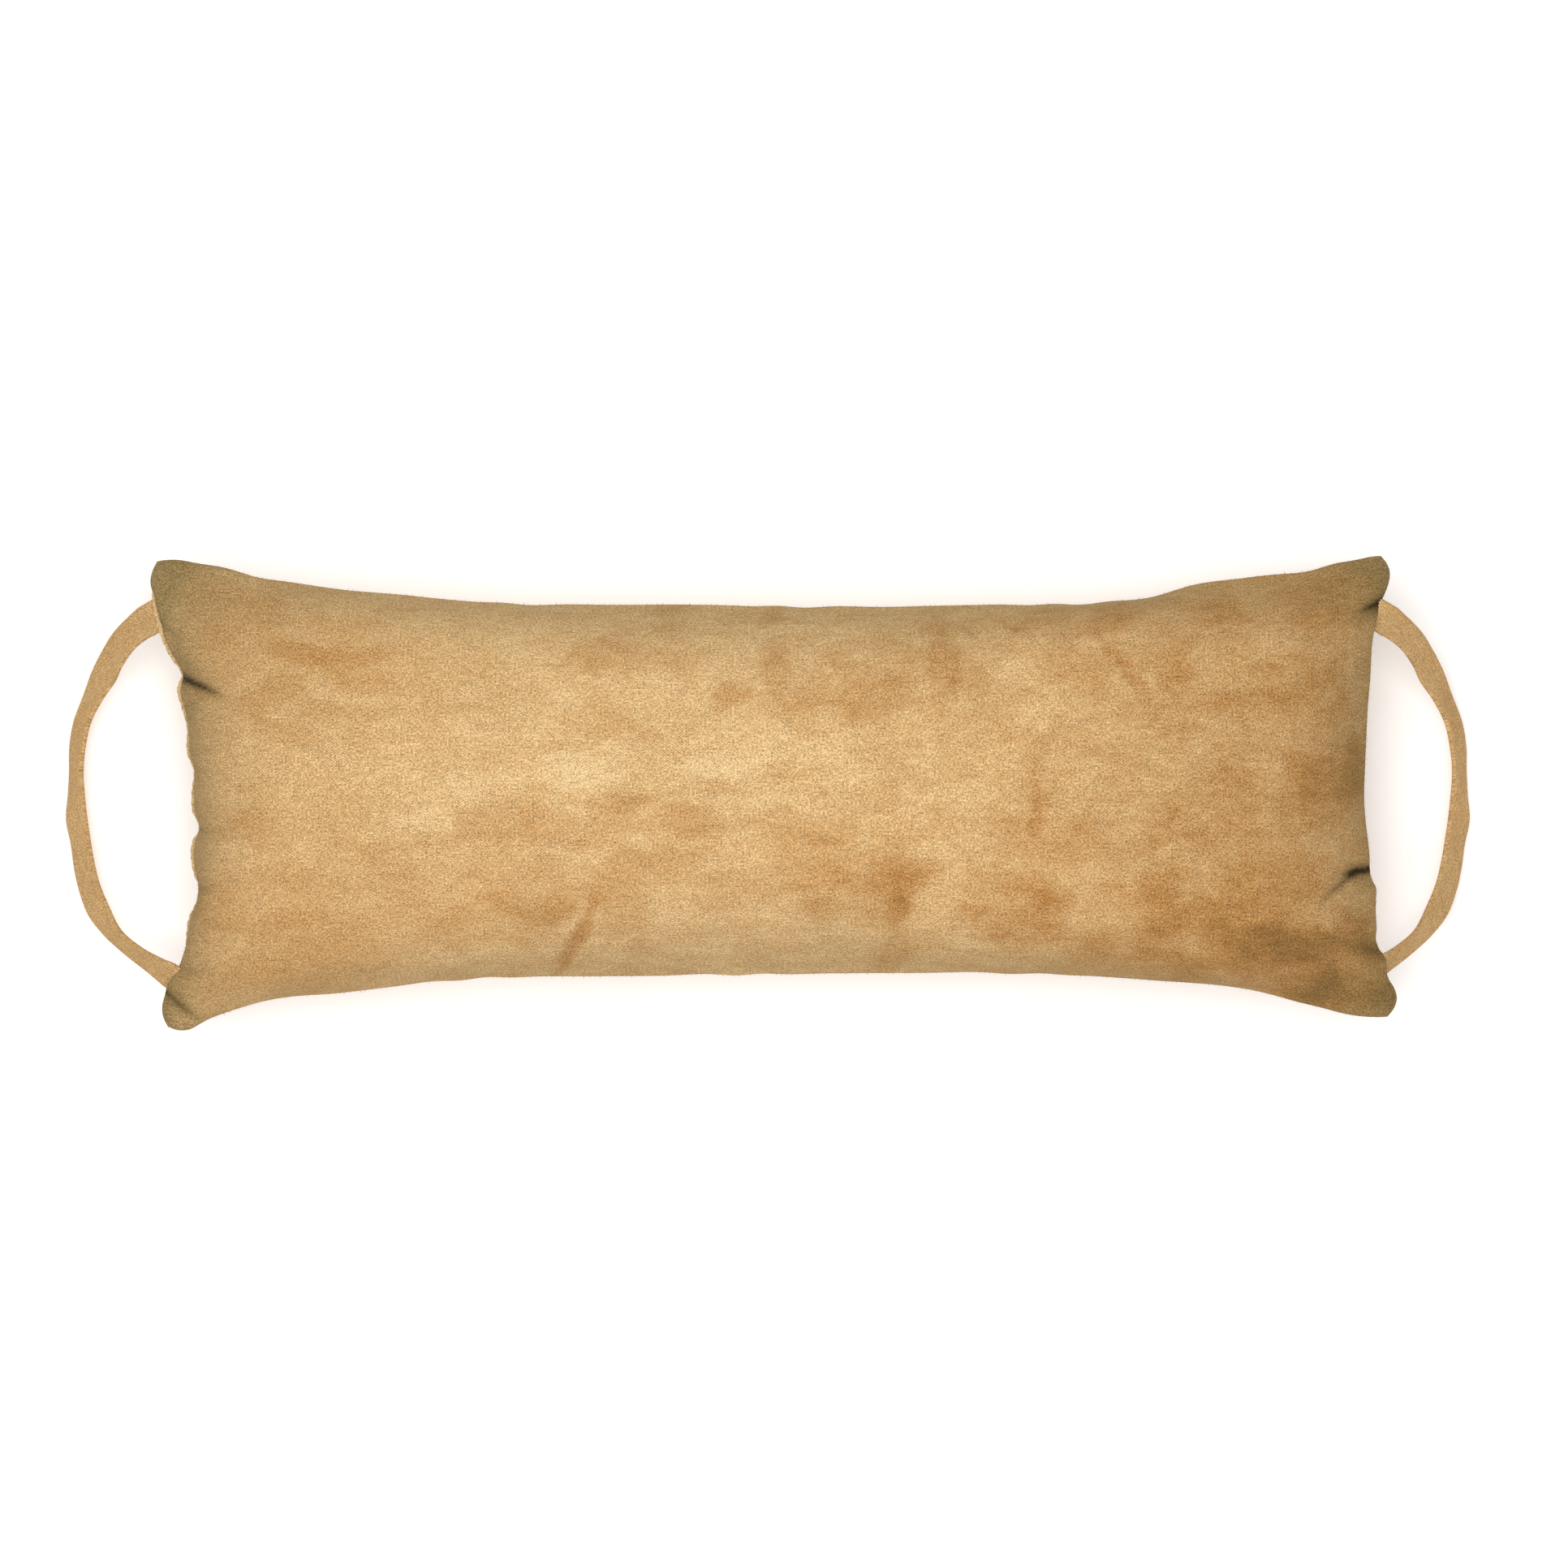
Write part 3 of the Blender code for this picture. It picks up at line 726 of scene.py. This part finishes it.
def painted_shade_at(surface, halo):
    """Painted olive shade: 0 on the crown to 1 where the cloth is upright, and in between where
    it is drawn in towards the seams and corners and where it is near a crease."""
    du = np.gradient(surface, axis=0)
    dv = np.gradient(surface, axis=1)
    level = abs(unit(np.cross(du, dv))[..., 2])
    painted_shade_share = 0.8 * np.clip((0.95 - level) / 0.95, 0, 1) ** 1.2
    x, y = surface[..., 0] / MM, surface[..., 1] / MM
    to_end = np.minimum(x + 214 + 12 * (y / 80) ** 2, 220 + 10 * (y / 80) ** 2 - x)
    painted_shade_places = 0.5 * np.exp(-np.maximum(to_end, 0) / 13)
    # painted shade also on the rear and front sides, the four corners, the right part and the rear
    # left part
    painted_shade_places += 0.3 * ramp(y, 50, 35) + 0.1 * ramp(-y, 40, 40)
    painted_shade_places += 0.45 * ramp(abs(x), 190, 35) * ramp(abs(y), 60, 20)
    painted_shade_places += 0.14 * ramp(x, 110, 80)
    painted_shade_places += 0.12 * ramp(-x, 140, 40) * ramp(y, 10, 40)
    return 1 - (1 - painted_shade_share) * (1 - np.clip(painted_shade_places, 0, 1)) * (1 - 0.6 * halo)


# ---- strap handles ----

STRAP_WIDTH = 12 * MM
STRAP_THICKNESS = 2.3 * MM
# Edges of the left strap from its rear end to its front end, seen from above, in millimetres:
# (outer edge's distance out, y), (inner edge's distance out, y). The first and the last pairs are
# the tails, inside the cover.
STRAP_EDGES = [
    ((220.5, 75.9), (216.9, 64.2)), ((229.5, 70.7), (225.3, 58.5)), ((236.4, 65.7), (229.2, 56.4)),
    ((242.7, 59.6), (234.9, 51.9)), ((246.9, 53.1), (239.4, 45.6)), ((251.4, 44.4), (242.1, 39.6)),
    ((254.7, 34.8), (246.9, 33.0)), ((258.0, 25.5), (251.1, 25.2)), ((259.5, 16.2), (253.2, 15.9)),
    ((259.5, 7.2), (254.1, 7.2)), ((260.1, -1.8), (253.5, -1.2)), ((261.0, -10.8), (252.3, -10.2)),
    ((259.2, -19.8), (251.1, -18.6)), ((258.0, -28.8), (249.6, -27.0)),
    ((256.2, -37.2), (247.5, -34.8)), ((252.9, -46.2), (244.2, -42.6)),
    ((247.2, -53.4), (239.7, -51.6)), ((239.4, -60.6), (232.2, -57.9)),
    ((231.0, -67.2), (225.0, -61.8)), ((223.5, -73.5), (219.9, -63.9)),
    ((214.9, -79.2), (211.5, -69.3)),
]
# Those places are where the straps appear in the plane of the seam, from the camera's height
RIGHT_STRAP_SHIFT = -2.4 * MM  # the right strap sits a little closer to the middle
STRAP_LEAVES_SEAM = 225.5 * MM  # from here outwards it drops towards the floor


def strap_sections(side):
    """Centres, across directions and thickness directions of the strap's sections."""
    edges = np.array(STRAP_EDGES) * MM
    shift = RIGHT_STRAP_SHIFT if side > 0 else 0.0
    keys = np.arange(len(edges))
    fine = np.linspace(0, len(edges) - 1, 121)
    curves = [smooth_curve(list(zip(keys, edges[:, e, a])), fine) for e in (0, 1) for a in (0, 1)]
    outer = np.stack([side * (curves[0] + shift), curves[1]], -1)
    inner = np.stack([side * (curves[2] + shift), curves[3]], -1)
    centre = (outer + inner) / 2
    seen_width = np.minimum(np.linalg.norm(outer - inner, axis=-1), STRAP_WIDTH)
    # a strap that leans also shows its thickness
    seen_width = seen_width - STRAP_THICKNESS * np.sqrt(1 - (seen_width / STRAP_WIDTH) ** 2)
    tilt = np.sqrt(STRAP_WIDTH**2 - seen_width**2)
    reach = abs(centre[:, 0])
    share = ramp(reach, STRAP_LEAVES_SEAM, reach.max() - STRAP_LEAVES_SEAM)
    low = STRAP_THICKNESS / 2
    z = SEAM_Z + (low - SEAM_Z) * share**1.15
    z = np.maximum(z, low + tilt / 2)
    # the drop is eased along the strap, and then the strap is put where the camera sees it
    window = np.hanning(19)[1:-1]
    padded = np.pad(z, len(window) // 2, mode="edge")
    z = np.convolve(padded, window / window.sum(), "valid")
    further = 1 + (SEAM_Z - z) / VIEW_HEIGHT
    plan = VIEW_CENTRE + (centre - VIEW_CENTRE) * further[:, None]
    centres = np.column_stack([plan, z])
    across = unit(np.column_stack([outer - inner, -tilt]))
    along = unit(np.gradient(centres, axis=0))
    thick = unit(np.cross(along, across))
    thick *= np.sign(thick[:, 2:3])
    return centres, across, thick


def sweep(centres, across, thick, half_width, half_thickness, around=28):
    """A band with rounded, slightly fuller edges along a path: its points and faces."""
    angles = np.linspace(0, 2 * pi, around, endpoint=False)
    wide = np.sign(np.cos(angles)) * abs(np.cos(angles)) ** 0.32
    high = np.sign(np.sin(angles)) * abs(np.sin(angles)) ** 0.9 * (1 + 0.18 * abs(wide) ** 4)
    half_width = np.broadcast_to(half_width, len(centres))[:, None, None]
    half_thickness = np.broadcast_to(half_thickness, len(centres))[:, None, None]
    offsets = across[:, None] * wide[None, :, None] * half_width
    offsets = offsets + thick[:, None] * high[None, :, None] * half_thickness
    points = centres[:, None] + offsets
    ids = np.arange(points[..., 0].size).reshape(points.shape[:2])
    ids = np.column_stack([ids, ids[:, 0]])
    faces = list(grid_faces(ids, True)) + [ids[0, :-1], ids[-1, :-1][::-1]]
    lengths = np.linalg.norm(np.diff(centres, axis=0), axis=1)
    travelled = np.concatenate([[0.0], np.cumsum(lengths)])
    sideways = wide[None] * half_width[..., 0]
    flat = np.stack(np.broadcast_arrays(travelled[:, None], sideways, 1.5), -1)
    return points.reshape(-1, 3), faces, flat.reshape(-1, 3)


def strap_piece(name, side, material):
    """A folded strap: a flat band, a little fuller along its folded edges."""
    centres, across, thick = strap_sections(side)
    points, faces, flat = sweep(centres, across, thick, STRAP_WIDTH / 2, STRAP_THICKNESS / 2)
    zero = np.zeros(len(points))
    flat[:, 1] += 0.05 * side
    attributes = {"cloth": flat, "nap": zero, "painted_shade": zero}
    return mesh_piece(name, points, faces, material, attributes)


# ---- seams ----

STITCH_PITCH = 3.2 * MM
STITCH_PARTS = 6  # a stitch takes all but one of these parts of the pitch
THREAD_RADIUS = 0.4 * MM
CLOSING_DEPTH = 2.6 * MM  # how far in from the edge the last opening is stitched


def moved_in(path, depth):
    """A plan path moved to its left by a distance, or by a distance for each of its points."""
    along = unit(np.gradient(path, axis=0))
    normals = np.column_stack([-along[:, 1], along[:, 0]])
    return path + normals * np.broadcast_to(depth, len(path))[:, None]


def stitches_piece(name, starts, ends, radius, material):
    """Stitches of a twisted thread, each diving into the cloth at both ends."""
    rings, around = 9, 8
    sink = 0.25 * radius
    t = np.linspace(0, 1, rings)
    angles = np.linspace(0, 2 * pi, around, endpoint=False)
    along = unit(ends - starts)
    sideways = unit(np.cross(along, [0.0, 0.0, 1.0]))
    upward = np.cross(sideways, along)
    fat = radius * (0.35 + 0.65 * np.sin(pi * t) ** 0.5)
    centres = starts[:, None] + (ends - starts)[:, None] * t[None, :, None]
    centres = centres - upward[:, None] * (sink * (1 - np.sin(pi * t)))[None, :, None]
    spoke = (
        np.cos(angles)[None, None, :, None] * sideways[:, None, None]
        + np.sin(angles)[None, None, :, None] * upward[:, None, None]
    )
    points = centres[:, :, None] + spoke * fat[None, :, None, None]
    faces = []
    for k in range(len(starts)):
        ids = np.arange(rings * around).reshape(rings, around) + k * rings * around
        ids = np.column_stack([ids, ids[:, 0]])
        faces += list(grid_faces(ids)) + [ids[0, :-1][::-1], ids[-1, :-1]]
    return mesh_piece(name, points.reshape(-1, 3), faces, material)


def run_of_stitches(name, path, depth, material):
    """A lockstitch along a seam, in the valley between the two panels."""
    path = moved_in(path, depth)
    length = np.linalg.norm(np.diff(path, axis=0), axis=1).sum()
    count = int(length / STITCH_PITCH)
    marks = evenly_spaced(path, count * STITCH_PARTS + 1)
    marks = np.column_stack([marks, np.full(len(marks), SEAM_Z)])
    starts = marks[:-STITCH_PARTS:STITCH_PARTS]
    ends = marks[STITCH_PARTS - 1 :: STITCH_PARTS]
    return stitches_piece(name, starts, ends, THREAD_RADIUS, material)


def pile_fuzz(name, panels, material):
    """Loose ends of the pile, standing off where the cloth turns down at the sides."""
    random = np.random.default_rng(7)
    per_panel = 2600
    roots, directions = [], []
    for panel in panels:
        values = np.empty((2, len(panel.data.vertices) * 3))
        panel.data.vertices.foreach_get("co", values[0])
        panel.data.vertices.foreach_get("normal", values[1])
        points, normals = values.reshape(2, -1, 3)
        upright = (abs(normals[:, 2]) < 0.5) & (abs(points[:, 2] - SEAM_Z) > 0.6 * MM)
        chosen = random.choice(np.flatnonzero(upright), per_panel)
        roots.append(points[chosen])
        directions.append(unit(normals[chosen] + random.normal(0, 0.45, (per_panel, 3))))
    roots, directions = np.concatenate(roots), np.concatenate(directions)
    length = random.uniform(0.5, 1.5, len(roots))[:, None] * MM
    sideways = unit(np.cross(directions, [0.3, 0.1, 1.0]))
    other = np.cross(directions, sideways)
    radius = 0.07 * MM
    corners = [sideways, -0.5 * sideways + 0.87 * other, -0.5 * sideways - 0.87 * other]
    points = [roots - directions * 0.2 * MM + corner * radius for corner in corners]
    points = np.stack([*points, roots + directions * length], axis=1).reshape(-1, 3)
    first = np.arange(len(roots))[:, None] * 4
    triangles = ((0, 1, 3), (1, 2, 3), (2, 0, 3), (2, 1, 0))
    faces = np.concatenate([first + np.array(triangle) for triangle in triangles])
    level = np.zeros(len(points))
    # the fibres carry a little painted shade
    attributes = {"cloth": points, "nap": level - 0.1, "painted_shade": level + 0.2}
    return mesh_piece(name, points, faces, material, attributes)


def closing_lip(name, left, material):
    """The folded edges of the last opening, sewn flat together: a thin scalloped rim."""
    path = left[(left[:, 1] > CLOSED_FROM) & (left[:, 1] < CLOSED_TO)]
    count = 420
    path = evenly_spaced(path, count)
    steps = np.arange(count)
    taper = ramp(np.minimum(steps, count - 1 - steps), 0, 14) ** 0.5
    scallop = 0.12 * MM * np.sin(path[:, 1] / (0.55 * MM))
    half_width = 1.9 * MM
    centre = moved_in(path, -(half_width + scallop + (1 - taper) * 1.4 * MM))
    along = unit(np.gradient(centre, axis=0))
    centres = np.column_stack([centre, np.full(count, SEAM_Z)])
    across = np.column_stack([-along[:, 1], along[:, 0], np.zeros(count)])
    thick = np.tile([0.0, 0.0, 1.0], (count, 1))
    points, faces, flat = sweep(centres, across, thick, half_width, 0.75 * MM, around=20)
    zero = np.zeros(len(points))
    # the lip carries a little painted shade
    attributes = {"cloth": flat, "nap": zero - 0.2, "painted_shade": zero + 0.15}
    return mesh_piece(name, points, faces, material, attributes)


def bar_tack(name, side, at_rear, material):
    """A dense zigzag across the tail of a strap, where it lies between the panels."""
    centres, across, thick = strap_sections(side)
    turns = 19
    half_length = 1.1 * MM
    where = 5 if at_rear else len(centres) - 6
    along = unit(centres[where + 1] - centres[where - 1])
    top = centres[where] + thick[where] * (STRAP_THICKNESS / 2 + 0.1 * MM)
    steps = np.linspace(-0.45, 0.45, turns)[:, None] * STRAP_WIDTH * across[where]
    zigzag = np.where(np.arange(turns) % 2, 1.0, -1.0)[:, None] * half_length * along
    marks = top + steps + zigzag
    return stitches_piece(name, marks[:-1], marks[1:], 0.3 * MM, material)


# ---- making the pieces ----


def make_cover():
    layers = inflate_cover()
    panels = []
    for name, layer, side in zip(("top", "bottom"), layers, (1, -1)):
        panel = cover_panel(f"suede_{name}_panel", layer, side, cover_suede)
        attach(panel, CUSHION)
        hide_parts(f"cover_{name}_panel")
        panels.append(panel)
    fuzz = pile_fuzz("pile_fuzz", panels, cover_suede)
    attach(fuzz, CUSHION)


def make_straps():
    for name, side in HANDLES.items():
        strap = strap_piece(f"{name}_suede_strap", side, strap_suede)
        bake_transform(strap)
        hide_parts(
            f"{name}_strap", f"{name}_front_strap_tail", f"{name}_rear_strap_tail"
        )
        for place in ("front", "rear"):
            tack_name = f"{name}_{place}_bar_tack"
            tack = bar_tack(f"{tack_name}_zigzag", side, place == "rear", thread_twist)
            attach(tack, CUSHION)
            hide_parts(tack_name)


def make_seams():
    front, rear, left, right = outline_sides()
    # each path runs with the cushion on its left
    runs = {
        "front_seam": (front, "front_seam_thread"),
        "rear_seam": (rear[::-1], "rear_seam_thread"),
        "right_end_seam": (right, "right_end_seam_thread"),
        "left_closing_seam": (left[::-1], "left_closing_seam_thread"),
    }
    for name, (path, node) in runs.items():
        depth = CLOSING_DEPTH if name == "left_closing_seam" else SEAM_VALLEY + 0.3 * MM
        stitches = run_of_stitches(f"{name}_stitches", path, depth, thread_twist)
        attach(stitches, CUSHION)
        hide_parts(node)
    lip = closing_lip("closing_seam_lip", end_seam(LEFT_END, -1), cover_suede)
    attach(lip, CUSHION)


def finish_inner_nodes():
    calico = plain_cloth("bag calico", CALICO, 0.5 * MM, 0.9)
    fibre = plain_cloth("polyester fibre", FIBRE, 3 * MM, 1.0)
    for name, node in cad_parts.items():
        finish = thread_twist
        if name.startswith("liner") and "thread" not in name:
            finish = calico
        if name == "fibre_fill":
            finish = fibre
        node.data.materials.clear()
        node.data.materials.append(finish)


def make_stage():
    floor_half = 3.0
    corners = [(-1, -1), (1, -1), (1, 1), (-1, 1)]
    points = [(x * floor_half, y * floor_half, 0.0) for x, y in corners]
    pale, tree, shader = new_material("pale floor")
    grain = noise(tree, add_node(tree, "TexCoord").outputs["Object"], 30, 2)
    tone = remap(tree, grain, 0, 1, 0.96, 0.98)
    grey = add_node(tree, "CombineColor", {0: tone, 1: tone, 2: tone}).outputs[0]
    tree.links.new(grey, shader.inputs["Base Color"])
    shader.inputs["Roughness"].default_value = 1.0
    shader.inputs["Specular IOR Level"].default_value = 0.0
    # painted light: the floor glows a little, as a lit table, so that shadows on it stay faint
    shader.inputs["Emission Color"].default_value = (1.0, 1.0, 1.0, 1.0)
    shader.inputs["Emission Strength"].default_value = 0.16
    mesh_piece("floor", points, [(0, 1, 2, 3)], pale)


def add_area_light(name, location, size, power, colour=(1.0, 0.99, 0.97)):
    light = bpy.data.lights.new(name, "AREA")
    light.size = size
    light.energy = power
    light.color = colour
    made = bpy.data.objects.new(name, light)
    made.location = location
    towards_pillow = Vector((0, 0, SEAM_Z)) - Vector(location)
    made.rotation_euler = towards_pillow.to_track_quat("-Z", "Y").to_euler()
    bpy.context.scene.collection.objects.link(made)


def make_lights():
    world = bpy.data.worlds.new("studio")
    bpy.context.scene.world = world
    world.use_nodes = True
    background = world.node_tree.nodes["Background"]
    background.inputs[0].default_value = (1.0, 0.985, 0.965, 1.0)
    background.inputs[1].default_value = 0.62
    add_area_light("overhead softbox", (-0.1, 0.06, 1.3), 1.1, 13.0)
    add_area_light("front fill", (0.1, -1.2, 0.7), 0.8, 2.5, colour=(0.93, 0.88, 1.0))


def make_camera():
    """Straight above, far enough for hardly any perspective."""
    seen_width = 0.5796
    camera = bpy.data.cameras.new("camera")
    camera.sensor_width = 36
    camera.lens = 36 * VIEW_HEIGHT / seen_width
    made = bpy.data.objects.new("camera", camera)
    made.location = (*VIEW_CENTRE, SEAM_Z + VIEW_HEIGHT)
    bpy.context.scene.collection.objects.link(made)
    bpy.context.scene.camera = made
    bpy.context.scene.view_settings.view_transform = "Standard"


make_camera()
make_cover()
make_straps()
make_seams()
finish_inner_nodes()
make_stage()
make_lights()
